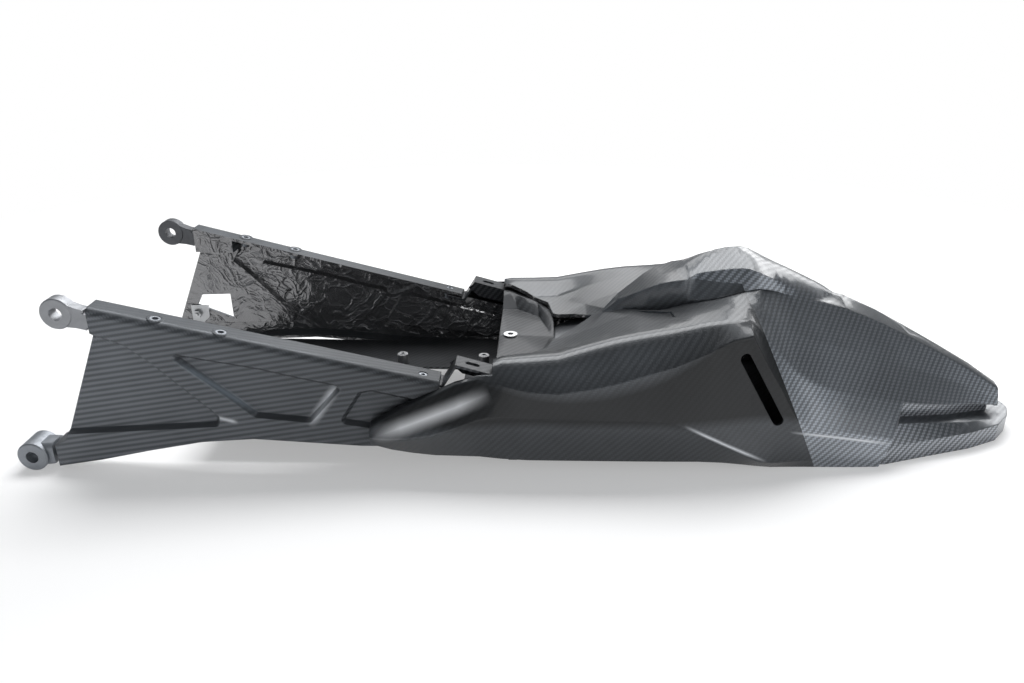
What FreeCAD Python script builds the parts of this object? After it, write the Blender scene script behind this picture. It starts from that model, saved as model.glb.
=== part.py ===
import FreeCAD, Part
import math
import os

# Carbon fibre rear subframe of a racing motorbike: two channel section rails with metal
# lugs, and a self supporting tail cowl with its tray.
# Origin: midway between the two upper lug bores. +X points to the rear of the bike,
# +Y to its right side, +Z up. Millimetres. The part rests on the plane z = -FLOOR_DROP.
# Every side piece is drawn once on the +Y side and mirrored for the left.

# Laminate
WALL = 3.0                    # carbon laminate of the rails and the cowl
SKIN = 2.4                    # thinner laminate of trays, shelf and brackets
BOND = 0.15                   # glue line between bonded pieces
FLOOR_DROP = 137.0            # height of the upper bores above the floor

# Lugs
BORE_D = 10.3                 # clearance bore for an M10 bolt
LUG_D = 25.0                  # outside diameter of both lug eyes
UPPER_LUG_Y = 108.0           # middle of the upper lugs
UPPER_LUG_T = 11.0            # thickness of the upper lugs
LOWER_LUG_X = -43.0
LOWER_LUG_Z = -124.0
LOWER_LUG_IN = 96.0           # inner and outer face of the lower lugs
LOWER_LUG_OUT = 120.0
TANG_H = 11.0                 # bar of each lug that is glued into its rail
TANG_W = 11.0
TANG_LEN = 26.0

# Rails
RAIL_OUT = 118.0              # outer face of the rail web at x = 0
RAIL_TOE = 1.9                # degrees, the rails close in towards the rear
RAIL_SLOPE = 0.23             # fall of the top flange for each mm of length
RAIL_TOP = 11.5               # height of the top flange at x = 0
RAIL_W = 20.0                 # width of both flanges
NOSE_X = 22.0                 # front end of the top flange
NOSE_LEN = 38.0               # boxed length behind it
NOSE_H = 24.0
FLANGE_END = 288.0            # rear end of the top flange
RAIL_END = 345.0
POCKET = 4.5                  # depth of the recessed panels between the truss bars
CORNER_R = 6.0                # rounded outer top corner

# Fasteners
INSERT_X = (74.0, 123.0)      # flanged M6 inserts in the top flange
INSERT_IN = 8.5               # from the outer face of the rail to the insert
INSERT_HOLE = 5.0             # M6 tapping bore
BUSH_WALL = 1.6
PAD_D = 12.6
PAD_H = 1.2
SMALL_X = 278.0               # small M4 insert near the end of the flange
SMALL_HOLE = 3.4
SMALL_IN = 10.0

# Rear ends of the rails, and the wiring details of the right rail
HEEL_X = -26.0                # front face of the lower corner, against the lower lug
LOWER_TANG_TOP = -117.0
LOWER_TANG_H = 9.0
LOWER_TANG_END = 4.0
LOWER_TANG_IN = 101.0
WINDOW = [(15.1, -67.6), (45.5, -66.0), (45.9, -92.8), (9.1, -79.1)]

# Seat brackets
BRACKET_FOOT = 276.0          # x of the front end of the foot under the flange
BRACKET_CREST = (304.0, -41.0)
BRACKET_REAR = (352.0, -54.0)
BRACKET_IN = 86.0
BRACKET_OUT = 104.4
BRACKET_WEB = 15.0            # height of its inner web
SLOT_X = 317.0
SLOT_L = 11.0
SLOT_W = 4.6
RIVET = (346.0, -57.5)

# Tail cowl
DECK_FRONT = 333.0            # front edge of the deck
SHELF_Z = -60.0               # upper face of the shelf in the seat opening
VENT_TOP = (529.0, -34.0)     # ends of the vent slot in each side
VENT_LOW = (563.0, -93.0)
VENT_W = 8.5
TAIL_END = 777.0

NEARLY_STRAIGHT = 0.002       # corners flatter than this get the flattest arc
FLATTEST_ARC = 0.002

os.makedirs("parts", exist_ok=True)
V = FreeCAD.Vector
UP = V(0, 0, 1)
LEFT_RIGHT = V(0, 1, 0)


def save(name, shape):
    if len(shape.Solids) == 1:
        simpler = shape.removeSplitter()
        shape = simpler if simpler.isValid() else shape
    shape.exportStep("parts/%s.step" % name)


def both_sides(name, shape):
    save("right_" + name, shape)
    save("left_" + name, shape.mirror(V(0, 0, 0), LEFT_RIGHT))


def pair(shape):
    """A small piece and its mirror image, kept as two solids in one file."""
    return Part.makeCompound([shape, shape.mirror(V(0, 0, 0), LEFT_RIGHT)])


def in_xz(y):
    return lambda a, b: V(a, y, b)


def in_xy(z):
    return lambda a, b: V(a, b, z)


def in_yz(x):
    return lambda a, b: V(x, a, b)


def rounded_wire(points, radii, place):
    """Closed outline through points, each corner rounded by its radius, or sharp at 0."""
    n = len(points)
    edges = []
    ends = []
    for i, (px, py) in enumerate(points):
        if radii[i] == 0:
            ends.append(((px, py), None, (px, py)))
            continue
        ax, ay = points[i - 1]
        bx, by = points[(i + 1) % n]
        la = math.hypot(ax - px, ay - py)
        lb = math.hypot(bx - px, by - py)
        ua = ((ax - px) / la, (ay - py) / la)
        ub = ((bx - px) / lb, (by - py) / lb)
        cosine = max(-0.99999, min(0.99999, ua[0] * ub[0] + ua[1] * ub[1]))
        half = math.acos(cosine) / 2
        trim = min(radii[i] / math.tan(half), 0.45 * la, 0.45 * lb)
        radius = trim * math.tan(half)
        start = (px + ua[0] * trim, py + ua[1] * trim)
        end = (px + ub[0] * trim, py + ub[1] * trim)
        mid_x, mid_y = ua[0] + ub[0], ua[1] + ub[1]
        size = math.hypot(mid_x, mid_y)
        reach = radius / math.sin(half) - radius
        if size < NEARLY_STRAIGHT:
            mid_x, mid_y, size, reach = -ua[1], ua[0], 1.0, FLATTEST_ARC
        mid = (px + mid_x / size * reach, py + mid_y / size * reach)
        ends.append((start, mid, end))
    for i, (start, mid, end) in enumerate(ends):
        if mid:
            edges.append(Part.Arc(place(*start), place(*mid), place(*end)).toShape())
        following = ends[(i + 1) % n][0]
        edges.append(Part.LineSegment(place(*end), place(*following)).toShape())
    return Part.Wire(edges)


def rounded_prism(points, radius, place, along):
    radii = radius if isinstance(radius, (list, tuple)) else [radius] * len(points)
    return Part.Face(rounded_wire(points, radii, place)).extrude(along)


def prism_xz(points, y0, y1):
    wire = Part.makePolygon([V(x, y0, z) for x, z in points + points[:1]])
    return Part.Face(wire).extrude(V(0, y1 - y0, 0))


def prism_xy(points, z0, z1):
    wire = Part.makePolygon([V(x, y, z0) for x, y in points + points[:1]])
    return Part.Face(wire).extrude(V(0, 0, z1 - z0))


def cylinder_y(x, z, radius, y0, y1):
    return Part.makeCylinder(radius, y1 - y0, V(x, y0, z), LEFT_RIGHT)


def shift_in(points, distance):
    """Points of an open outline moved to its inner side, seen from the middle outwards."""
    normals = []
    for (a0, b0), (a1, b1) in zip(points, points[1:]):
        size = math.hypot(a1 - a0, b1 - b0)
        normals.append(((b1 - b0) / size, -(a1 - a0) / size))
    moved = []
    for i, (a, b) in enumerate(points):
        n1 = normals[max(i - 1, 0)]
        n2 = normals[min(i, len(normals) - 1)]
        scale = distance / (1 + n1[0] * n2[0] + n1[1] * n2[1])
        moved.append((a + (n1[0] + n2[0]) * scale, b + (n1[1] + n2[1]) * scale))
    return moved


def flow(keys, x):
    """Smooth value at x through (x, value) pairs, without overshoot."""
    if x <= keys[0][0]:
        return keys[0][1]
    if x >= keys[-1][0]:
        return keys[-1][1]
    steps = [(b[1] - a[1]) / (b[0] - a[0]) for a, b in zip(keys, keys[1:])]
    slopes = [steps[0]]
    for s0, s1 in zip(steps, steps[1:]):
        slopes.append(0.0 if s0 * s1 <= 0 else 2 * s0 * s1 / (s0 + s1))
    slopes.append(steps[-1])
    i = max(k for k in range(len(steps)) if keys[k][0] <= x)
    h = keys[i + 1][0] - keys[i][0]
    t = (x - keys[i][0]) / h
    return ((2 * t ** 3 - 3 * t ** 2 + 1) * keys[i][1] + (t ** 3 - 2 * t ** 2 + t) * h * slopes[i]
            + (3 * t ** 2 - 2 * t ** 3) * keys[i + 1][1] + (t ** 3 - t ** 2) * h * slopes[i + 1])


# Rails

def rail_top(x):
    return RAIL_TOP - RAIL_SLOPE * x


RAIL_BOTTOM = [(RAIL_END, -112.0), (224.0, -112.0), (137.0, -106.0),
               (95.0, -109.0), (52.0, -117.0), (10.0, -126.0), (-26.0, -132.0)]
WEB_FRONT = [(-26.0, -112.0), (-16.0, -108.0), (NOSE_X, rail_top(NOSE_X) - NOSE_H)]
WEB_REAR = [(FLANGE_END, -64.0), (RAIL_END, -76.0)]

# Recessed panels between the truss bars, in side view
PANELS = [
    [(-34.0, -103.5), (-4.0, -4.0), (46.0, -23.0), (53.0, -29.0), (64.0, -38.0), (112.0, -86.0),
     (110.0, -95.0)],
    [(75.0, -29.0), (100.0, -34.0), (146.0, -42.5), (184.0, -52.0), (206.0, -56.5), (211.0, -61.0),
     (184.0, -91.0), (140.0, -86.5)],
    [(224.0, -63.5), (234.0, -61.5), (335.0, -85.0), (335.0, -104.0), (240.0, -97.0),
     (206.0, -91.5)],
]


def panel_loft(points, y_open, y_deep, draft, grow):
    """Shallow dish with sloping sides, from its open face to its floor."""
    middle = V(sum(p[0] for p in points) / len(points), 0, sum(p[1] for p in points) / len(points))
    def outline(y, inset):
        wire = rounded_wire(points, [4.0] * len(points), in_xz(y))
        return wire.makeOffset2D(grow - inset, 0, False, False, True) if grow - inset else wire
    return Part.makeLoft([outline(y_open, 0.0), outline(y_deep, draft)], True, True)


def make_rail(has_window):
    out = RAIL_OUT
    inner = out - RAIL_W
    top_line = [(NOSE_X, rail_top(NOSE_X)), (FLANGE_END, rail_top(FLANGE_END))]
    side = top_line + WEB_REAR + RAIL_BOTTOM + WEB_FRONT
    body = prism_xz(side, inner, out)
    corner = [e for e in body.Edges if e.BoundBox.YMin > out - 0.01 and e.BoundBox.XLength > 200
              and e.BoundBox.ZMax > 0]
    body = body.makeFillet(CORNER_R, corner)
    # The hollow of the channel, open towards the middle of the bike
    lower = [(x, z + WALL) for x, z in RAIL_BOTTOM[:-2]]
    hollow_front = [(18.0, -119.5), (8.0, -104.0), (NOSE_X + NOSE_LEN, rail_top(NOSE_X) - NOSE_H - 2),
                    (NOSE_X + NOSE_LEN, rail_top(NOSE_X + NOSE_LEN) - WALL)]
    hollow = prism_xz([(FLANGE_END + 90, rail_top(FLANGE_END + 90) - WALL), (RAIL_END + 5, -115.0 + WALL)]
                      + lower[1:] + hollow_front, inner - 5, out - WALL)
    body = body.cut(hollow)
    # Front of the web below the nose is the bare laminate
    front = prism_xz([(-60.0, -106.0), (-18.0, -106.0), (8.0, -104.0), (NOSE_X + NOSE_LEN, -20.0),
                      (NOSE_X + NOSE_LEN, rail_top(NOSE_X) - NOSE_H), (-60.0, rail_top(NOSE_X) - NOSE_H)],
                     inner - 5, out - POCKET - WALL)
    body = body.cut(front)
    for points in PANELS:
        pad = panel_loft(points, out - WALL, out - POCKET - WALL, 2.0, 1.0)
        pad = pad.common(prism_xz(side, inner, out))
        body = body.fuse(pad)
    for points in PANELS:
        body = body.cut(panel_loft(points, out + 0.01, out - POCKET, 3.0, 0.0))
    if has_window:
        body = body.cut(window())
    return body


def turn_in(shape):
    """Close a rail in towards the rear, about the upper bores."""
    return shape.rotated(V(0, 0, 0), UP, -RAIL_TOE)


def nose_socket():
    """Room for the tang of the upper lug inside the boxed nose."""
    bar = Part.makeBox(TANG_LEN + 1, TANG_W + 2 * BOND, TANG_H + 2 * BOND,
                       V(NOSE_X - 1, UPPER_LUG_Y - TANG_W / 2 - BOND, -TANG_H / 2 - BOND))
    return tilt_to_flange(bar)


def heel_socket():
    """Room for the tang of the lower lug in the lower front corner."""
    return prism_xz([(-30.0, LOWER_TANG_TOP + BOND), (LOWER_TANG_END + BOND, LOWER_TANG_TOP + BOND),
                     (LOWER_TANG_END + BOND, LOWER_TANG_TOP - LOWER_TANG_H - BOND),
                     (-30.0, LOWER_TANG_TOP - LOWER_TANG_H - BOND)],
                    LOWER_TANG_IN - BOND, LOWER_TANG_IN + TANG_W + BOND)


def window():
    """Trapezoid window in the web of the right rail, for the wiring."""
    return prism_xz(WINDOW, RAIL_OUT - 20.0, RAIL_OUT + 5.0)


def finish_rail(rail):
    """Turn the rail in, then fit pads, insert bores and lug sockets."""
    rail = turn_in(rail)
    axis = flange_axis()
    pads = [Part.makeCylinder(PAD_D / 2, PAD_H + 1.0, insert_place(x, INSERT_IN) - axis, axis)
            for x in INSERT_X]
    rail = rail.fuse(pads)
    holes = [(x, INSERT_IN, INSERT_HOLE) for x in INSERT_X] + [(SMALL_X, SMALL_IN, SMALL_HOLE)]
    bores = [Part.makeCylinder(hole / 2 + BUSH_WALL + BOND, 20.0, insert_place(x, inset) - axis * 10.0, axis)
             for x, inset, hole in holes]
    return rail.cut(bores + [nose_socket(), heel_socket()])


def tilt_to_flange(shape):
    """Turn a piece about the upper bore so that it runs along the sloping flange."""
    return shape.rotated(V(0, 0, 0), LEFT_RIGHT, math.degrees(math.atan(RAIL_SLOPE)))


# Metal lugs

def make_upper_lug():
    y0 = UPPER_LUG_Y - UPPER_LUG_T / 2
    y1 = UPPER_LUG_Y + UPPER_LUG_T / 2
    eye = cylinder_y(0, 0, LUG_D / 2, y0, y1)
    eye = eye.makeChamfer(0.8, [e for e in eye.Edges if e.Curve.TypeId == "Part::GeomCircle"])
    neck_points = [(3.0, 10.0), (NOSE_X - 6, 8.0), (NOSE_X + 6, 8.0),
                   (NOSE_X + 6, -8.0), (NOSE_X - 6, -8.0), (3.0, -10.0)]
    neck = rounded_prism(neck_points, 2.0, in_xz(y0 + 0.8), V(0, UPPER_LUG_T - 1.6, 0))
    neck = tilt_to_flange(neck).cut(Part.makeBox(20, 40, 60, V(NOSE_X - BOND, UPPER_LUG_Y - 20, -30)))
    tang = Part.makeBox(TANG_LEN, TANG_W, TANG_H, V(NOSE_X - 2, UPPER_LUG_Y - TANG_W / 2, -TANG_H / 2))
    lug = eye.fuse([neck, tilt_to_flange(tang)])
    bore = cylinder_y(0, 0, BORE_D / 2, y0 - 1, y1 + 1)
    return lug.cut(bore)


def make_lower_lug():
    x, z = LOWER_LUG_X, LOWER_LUG_Z
    eye = cylinder_y(x, z, LUG_D / 2, LOWER_LUG_IN, LOWER_LUG_OUT)
    eye = eye.makeChamfer(1.0, [e for e in eye.Edges if e.Curve.TypeId == "Part::GeomCircle"])
    width = RAIL_OUT - LOWER_LUG_IN - 3
    block = rounded_prism([(LOWER_LUG_IN + 2, z - 11.0), (LOWER_LUG_IN + 2 + width, z - 11.0),
                           (LOWER_LUG_IN + 2 + width, z + 11.5), (LOWER_LUG_IN + 2, z + 11.5)], 6.0,
                          in_yz(x), V(HEEL_X - BOND - x, 0, 0))
    neck = prism_xz([(x, z + 10.5), (HEEL_X, -113.0), (HEEL_X, -131.0), (x, z - 10.5)],
                    LOWER_LUG_IN, RAIL_OUT + 2).common(block)
    tang = prism_xz([(HEEL_X - 2, LOWER_TANG_TOP), (LOWER_TANG_END, LOWER_TANG_TOP),
                     (LOWER_TANG_END, LOWER_TANG_TOP - LOWER_TANG_H),
                     (HEEL_X - 2, LOWER_TANG_TOP - LOWER_TANG_H)], LOWER_TANG_IN, LOWER_TANG_IN + TANG_W)
    bore = cylinder_y(x, z, BORE_D / 2, LOWER_LUG_IN - 1, LOWER_LUG_OUT + 1)
    return eye.fuse([neck, tang]).cut(bore)


def insert_place(x, inset):
    """Top of the flange, where an insert sits."""
    return V(x, RAIL_OUT - inset - x * math.tan(math.radians(RAIL_TOE)), rail_top(x))


def flange_axis():
    return V(RAIL_SLOPE, 0, 1).normalize()


def make_insert(x, inset, hole, grip, rise):
    """Flanged threaded bush, its flange glued under what it holds."""
    axis = flange_axis()
    under = insert_place(x, inset) - axis * (grip + BOND)
    barrel = Part.makeCylinder(hole / 2 + BUSH_WALL, grip + rise + 5.0, under - axis * 5.0, axis)
    flange = Part.makeCylinder(hole / 2 + 2.8, 1.5, under - axis * 1.5, axis)
    bore = Part.makeCylinder(hole / 2, 40.0, under - axis * 20.0, axis)
    return barrel.fuse(flange).cut(bore)


def make_brackets():
    """Bent strip from the end of the flange up to the deck, with a web on its inner edge."""
    z_foot = rail_top(BRACKET_FOOT) - WALL - BOND - SKIN
    z_step = rail_top(FLANGE_END) - WALL - BOND - SKIN
    cx, cz = BRACKET_CREST
    rx, rz = BRACKET_REAR
    upper = [(BRACKET_FOOT, z_foot + SKIN), (FLANGE_END + 5, z_step + SKIN - 1.2), (cx, cz), (rx, rz)]
    lower = [(rx, rz - SKIN), (cx + 1.0, cz - SKIN), (FLANGE_END + 6, z_step - 1.2),
             (BRACKET_FOOT, z_foot)]
    strip = prism_xz(upper + lower, BRACKET_IN, BRACKET_OUT)
    web = prism_xz([(cx - 6, cz - 6), (cx + 1, cz - 1), (rx, rz - 1), (rx, rz - BRACKET_WEB + 2),
                    (cx + 4, cz - BRACKET_WEB)], BRACKET_IN, BRACKET_IN + SKIN)
    rivet_hole = cylinder_y(RIVET[0], RIVET[1], 1.6 + BOND / 2, BRACKET_IN - 5, BRACKET_IN + 8)
    slot_z = cz + (rz - cz) * (SLOT_X - cx) / (rx - cx)
    half = SLOT_L / 2
    slot = rounded_prism([(SLOT_X - half, 95 - SLOT_W / 2), (SLOT_X + half, 95 - SLOT_W / 2),
                          (SLOT_X + half, 95 + SLOT_W / 2), (SLOT_X - half, 95 + SLOT_W / 2)],
                         SLOT_W / 2 - 0.05, in_xy(slot_z - 8), V(0, 0, 16))
    axis = flange_axis()
    insert_hole = Part.makeCylinder(SMALL_HOLE / 2 + BUSH_WALL + BOND, 30.0,
                                    insert_place(SMALL_X, SMALL_IN) - axis * 20.0, axis)
    return strip.fuse(web).cut([slot, rivet_hole, insert_hole])


# Tail cowl: lengthwise lines from the middle of the deck to the lower edge

DECK_MID_Z = [(236, -50.5), (385, -50.5), (415, -39.5), (445, -27), (480, -18), (515, -9), (551, 1),
              (600, -10), (625, -14.8), (647, -23.5), (674, -37), (703, -53), (732, -69), (762, -87), (779, -99)]
CREST_Y = [(236, 30), (445, 30), (480, 36), (515, 40), (551, 38), (566, 31), (612, 21), (646, 14),
           (680, 12), (740, 10), (779, 9)]
CREST_Z = [(236, -50), (385, -50), (415, -38.5), (445, -26.5), (480, -18), (515, -8), (551, 0.5),
           (566, -4), (612, -17), (646, -30), (680, -46), (740, -77), (779, -101)]
DECK_Y = [(236, 64), (385, 63), (480, 60), (536, 57), (575, 55), (620, 45), (660, 37), (700, 28),
          (740, 20), (779, 12)]
DECK_Z = [(236, -49), (340, -49), (385, -46), (415, -34), (445, -24), (480, -18), (515, -10),
          (536, -8), (551, -12), (575, -29), (620, -47), (660, -61), (700, -76), (740, -92),
          (779, -108)]
PEAK_Y = [(236, 108), (316, 103), (343, 98), (388, 95), (418, 91), (448, 88), (482, 82), (515, 76),
          (536, 72), (560, 79), (580, 80), (620, 70), (660, 62), (674, 59), (722, 40), (774, 15),
          (779, 14)]
PEAK_Z = [(236, -88), (266, -71), (293, -58), (316, -47), (343, -36.5), (388, -32), (418, -25),
          (448, -21), (482, -17), (515, -13), (536, -13), (548, -24), (560, -37), (580, -57),
          (620, -77), (660, -87), (674, -91), (722, -101.5), (774, -113), (779, -114)]
SHOULDER_Y = [(236, 117), (266, 115), (293, 114), (316, 111), (336, 112), (354, 115), (378, 115),
              (417, 112), (447, 109), (490, 101), (515, 93), (536, 88), (548, 92), (562, 96),
              (574, 98), (582, 96), (623, 89), (660, 83), (700, 66), (745, 46), (779, 22)]
SHOULDER_Z = [(236, -91), (266, -73), (293, -61), (316, -50), (336, -53), (354, -57), (378, -60),
              (417, -55), (447, -47), (490, -36), (515, -24), (536, -20), (548, -42), (562, -64),
              (574, -86), (582, -97), (623, -104), (660, -112), (700, -117), (779, -124)]
SILL_Y = [(236, 121), (279, 124), (300, 124), (334, 119), (360, 116), (418, 115), (475, 113),
          (522, 107), (551, 100), (566, 95), (600, 90), (660, 85), (700, 68), (745, 48), (779, 24)]
SILL_Z = [(236, -99), (243, -100), (279, -96), (300, -89), (334, -79), (360, -81), (450, -82.5),
          (475, -84), (485, -89), (522, -109), (551, -126), (566, -129), (660, -126), (779, -130)]
HEM_Y = [(236, 119), (257, 112), (290, 108), (322, 105), (388, 104), (502, 101), (540, 96),
         (562, 89), (655, 85), (700, 68), (745, 48), (779, 24)]
HEM_Z = [(236, -105), (257, -115), (290, -121), (322, -123), (355, -126), (502, -126), (540, -131),
         (562, -137), (779, -137)]
STATIONS = [236, 252, 268, 286, 304, 322, 340, 362, 385, 410, 430, 450, 475, 500, 520, 536, 549,
            562, 575, 590, 608, 630, 660, 690, 720, 750, TAIL_END]
LINE_RADII = [5.0, 25.0, 18.0, 3.0, 3.0]
INNER_RADII = [0, 22.0, 15.0, 0, 0]


def cowl_line(x):
    """Outer half section of the cowl at x, from the middle of the deck to the hem."""
    return [(0.0, flow(DECK_MID_Z, x)), (flow(CREST_Y, x), flow(CREST_Z, x)),
            (flow(DECK_Y, x), flow(DECK_Z, x)), (flow(PEAK_Y, x), flow(PEAK_Z, x)),
            (flow(SHOULDER_Y, x), flow(SHOULDER_Z, x)), (flow(SILL_Y, x), flow(SILL_Z, x)),
            (flow(HEM_Y, x), flow(HEM_Z, x))]


def cowl_skin():
    """Half of the cowl as one laminate, lofted through its sections."""
    wires = []
    for x in STATIONS:
        outer = cowl_line(x)
        inner = shift_in(outer, WALL)
        inner[0] = (0.0, inner[0][1])
        line = outer + inner[::-1]
        radii = [0] + LINE_RADII + [0, 0] + INNER_RADII[::-1] + [0]
        wires.append(rounded_wire(line, radii, in_yz(x)))
    return Part.makeLoft(wires, True, True)


def cowl_inner_width(x, z):
    """Half width inside the cowl at x and height z, on its side below the shoulder."""
    line = shift_in(cowl_line(x), WALL)[3:]
    for (y0, z0), (y1, z1) in zip(line, line[1:]):
        if z1 <= z <= z0:
            return y0 + (y1 - y0) * (z - z0) / (z1 - z0)
    return line[-1][0]


# Hump behind the seat: a ramp that rises from the deck and narrows to a spine, a facet on
# each side of the spine above an upright side wall, and a leaf shaped slope to the tail.

HUMP_X = [424, 437, 449, 460, 470, 485, 491, 495, 500, 505, 512, 518, 527, 535, 537, 541, 549, 559,
          566, 573, 584, 592, 600, 608, 614, 620, 626]
HOLLOW_X = [446, 460, 470, 485, 491, 495, 500, 505, 512, 518, 527, 535, 537, 541, 549, 559, 566, 573,
            584, 592, 600, 608]
SPINE_Z = [(424, -35.2), (437, -22.5), (449, -14.5), (460, -7), (470, -1.5), (485, 4), (491, 8),
           (495, 11.3), (500, 14.3), (505, 17.2), (513, 21.2), (523, 24.3), (533, 25.6), (540, 25.2),
           (547, 22.8), (564.6, 14.3), (582.5, 6.3), (600.6, -2.3), (611, -7.5), (618, -12),
           (626, -17)]
EDGE_Y = [(424, 2.5), (437, 7), (449, 13), (460, 19), (474, 22.5), (486, 25.5), (491, 26), (495, 20),
          (499.7, 15), (505, 12), (511.6, 10), (518, 8.5), (527, 6), (535, 2.5), (537, 3), (541, 14),
          (549, 17), (565, 14.5), (583, 11), (600, 10), (611, 8), (618, 5), (626, 2)]
EDGE_Z = [(424, -35.2), (437, -21.5), (449, -13.8), (460, -6.5), (470, -1), (485, 3.2), (491, 3.9),
          (495, 7), (499.7, 10.7), (505, 14.2), (511.6, 17.1), (518, 19.3), (527, 22.7), (535, 24.8),
          (537, 24.9), (541, 21.8), (549, 19), (565, 11.2), (583, 2.9), (600, -5.1), (611, -10.5),
          (618, -14), (626, -18)]
RIM_Y = [(424, 3), (437, 7.5), (449, 13.5), (460, 19.5), (474, 23), (486, 26), (491, 26.5), (495, 23.5),
         (500.5, 22), (510, 25), (525, 27), (535, 28.5), (539.5, 30.5), (549, 34.5), (559, 32),
         (573, 26), (584, 22.5), (600, 20), (608, 17.5), (614, 13), (626, 3)]
RIM_Z = [(424, -35.6), (437, -22.5), (449, -15), (460, -7.7), (470, -2.2), (485, 2.2), (491, 2.9),
         (495, 5), (500.5, 8.2), (510, 11.1), (525, 14.2), (535, 15.4), (539.5, 15.7), (549, 13.5),
         (559, 8.7), (573, 1.5), (584, -4), (600, -10.9), (608, -14.6), (614, -16.8), (626, -19.5)]
FOOT_Y = [(424, 4.5), (437, 9.5), (449, 16), (460, 21.5), (474, 25), (486, 27), (491, 27.5),
          (497, 28.5), (504, 32), (517, 37), (532, 37), (547, 36.5), (563, 31.5), (581, 29), (599, 24),
          (612, 20), (620, 13), (626, 5)]


def hump_body(stations, inset, drop):
    """Half of the hump, lofted through its sections, down to drop below the deck."""
    wires = []
    for x in stations:
        edge = max(flow(EDGE_Y, x) - inset, 0.3 * flow(EDGE_Y, x))
        low = flow(CREST_Z, x) - drop
        line = [(0.0, low), (flow(FOOT_Y, x) - inset, low), (flow(RIM_Y, x) - inset, flow(RIM_Z, x) - inset),
                (edge, flow(EDGE_Z, x) - inset), (0.0, flow(SPINE_Z, x) - inset)]
        points = [V(x, y, z) for y, z in line]
        wires.append(Part.makePolygon(points + points[:1]))
    return Part.makeLoft(wires, True, True)


# Air channel along each side of the hump, and the small arrow recess next to it

CHANNEL_PLAN = [(441, 12.5), (453, 24), (468, 33), (475, 34), (490, 33.5), (497, 35.5), (504, 36.8),
                (517, 39.2), (532, 38.6), (548, 37.8), (548, 36.2), (532, 36.7), (517, 36.7),
                (504, 31.7), (497, 28.2), (491, 27.2), (486, 26.7), (474, 24.7), (460, 21.2),
                (449, 15.7), (441, 11.4)]
CHANNEL_FLOOR = [(436, -30.2), (453, -28), (475, -24.5), (490, -21), (504, -16), (517, -11.5),
                 (532, -7.5), (550, -4.5)]
CHANNEL_RIM = [(560, -5.5), (549, -3.0), (532, -6.5), (517, -10.0), (495, -16.0), (475, -21.5),
               (453, -27.0), (441, -31.0), (432, -33.0)]
ARROW_PLAN = [(446, 20.5), (478, 41.5), (479.5, 55)]
ARROW_FLOOR = [(440, -30.4), (446, -28.0), (463, -23.8), (482, -19.5)]


def channel(grow, top):
    """Air channel beside the hump, running out in a point at the deck."""
    plan = Part.makePolygon([V(x, y, -60) for x, y in CHANNEL_PLAN + CHANNEL_PLAN[:1]])
    plan = plan.makeOffset2D(grow, 0, False, False, True) if grow else plan
    floor = [(x, z - grow) for x, z in CHANNEL_FLOOR]
    floor[0] = (floor[0][0] - grow, floor[0][1])
    floor[-1] = (floor[-1][0] + grow + 2, floor[-1][1])
    side = prism_xz(floor + top, 0, 90)
    return Part.Face(plan).extrude(V(0, 0, 120)).common(side)


def arrow_recess():
    side = prism_xz(ARROW_FLOOR + [(482, 20.0), (440, 20.0)], 0.0, 90.0)
    return prism_xy(ARROW_PLAN, -60.0, 20.0).common(side)


SKIRT = [(674.0, -91.0), (722.0, -101.5), (774.0, -113.0)]     # lower edge behind the side panels
REAR_CUT = ([(651.0, -150.0), (652.0, -FLOOR_DROP), (660.0, -112.0), (665.0, -106.0)] + SKIRT
            + [(TAIL_END + 10, -114.0), (TAIL_END + 10, -150.0)])
OPENING = [(225.0, 110.7), (DECK_FRONT, 107.1), (DECK_FRONT, 88.0), (337.0, 85.5), (356.0, 71.0),
           (376.0, 51.5), (381.0, 29.0), (400.0, 15.0), (415.0, 0.0), (225.0, 0.0)]


def rail_room():
    """Space of a rail with its glue line, cut from the inside of the cowl."""
    side = [(200.0, rail_top(200.0) + BOND), (FLANGE_END, rail_top(FLANGE_END) + BOND),
            (FLANGE_END, -64.0 + BOND), (RAIL_END + BOND, -76.0 + BOND),
            (RAIL_END + BOND, -112.0 - BOND), (200.0, -112.0 - BOND)]
    return turn_in(prism_xz(side, RAIL_OUT - RAIL_W, RAIL_OUT + BOND))


def vent_slot():
    (x0, z0), (x1, z1) = VENT_TOP, VENT_LOW
    size = math.hypot(x1 - x0, z1 - z0)
    nx, nz = (z1 - z0) / size * VENT_W / 2, -(x1 - x0) / size * VENT_W / 2
    corners = [(x0 + nx, z0 + nz), (x1 + nx, z1 + nz), (x1 - nx, z1 - nz), (x0 - nx, z0 - nz)]
    return rounded_prism(corners, VENT_W / 2 - 0.1, in_xz(70.0), V(0, 60, 0))


def make_cowl():
    skin = cowl_skin()
    hole = hump_body(HOLLOW_X, WALL, 40.0)
    air = channel(0.0, [(552, 60.0), (430, 60.0)])
    skin = skin.cut([hole, air, arrow_recess(), vent_slot(), prism_xy(OPENING, -100.0, 60.0),
                     rail_room(), prism_xz(REAR_CUT, -1.0, 140.0)])
    trough = channel(WALL, CHANNEL_RIM).cut([air, hole])
    hump = hump_body(HUMP_X, 0.0, 1.5).cut([hole, air])
    cap = Part.Face(rounded_wire(tail_end_section(), [0] * 5, in_yz(TAIL_END - WALL))).extrude(
        V(WALL, 0, 0))
    return skin.fuse([hump, trough, cap])


def tail_end_section():
    line = cowl_line(TAIL_END)[:4]
    return [(y, z - 1.0) for y, z in line] + [(0.0, line[-1][1] - 1.0)]


# Lower tail shell, in plan view from the side panels round the tip

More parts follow.
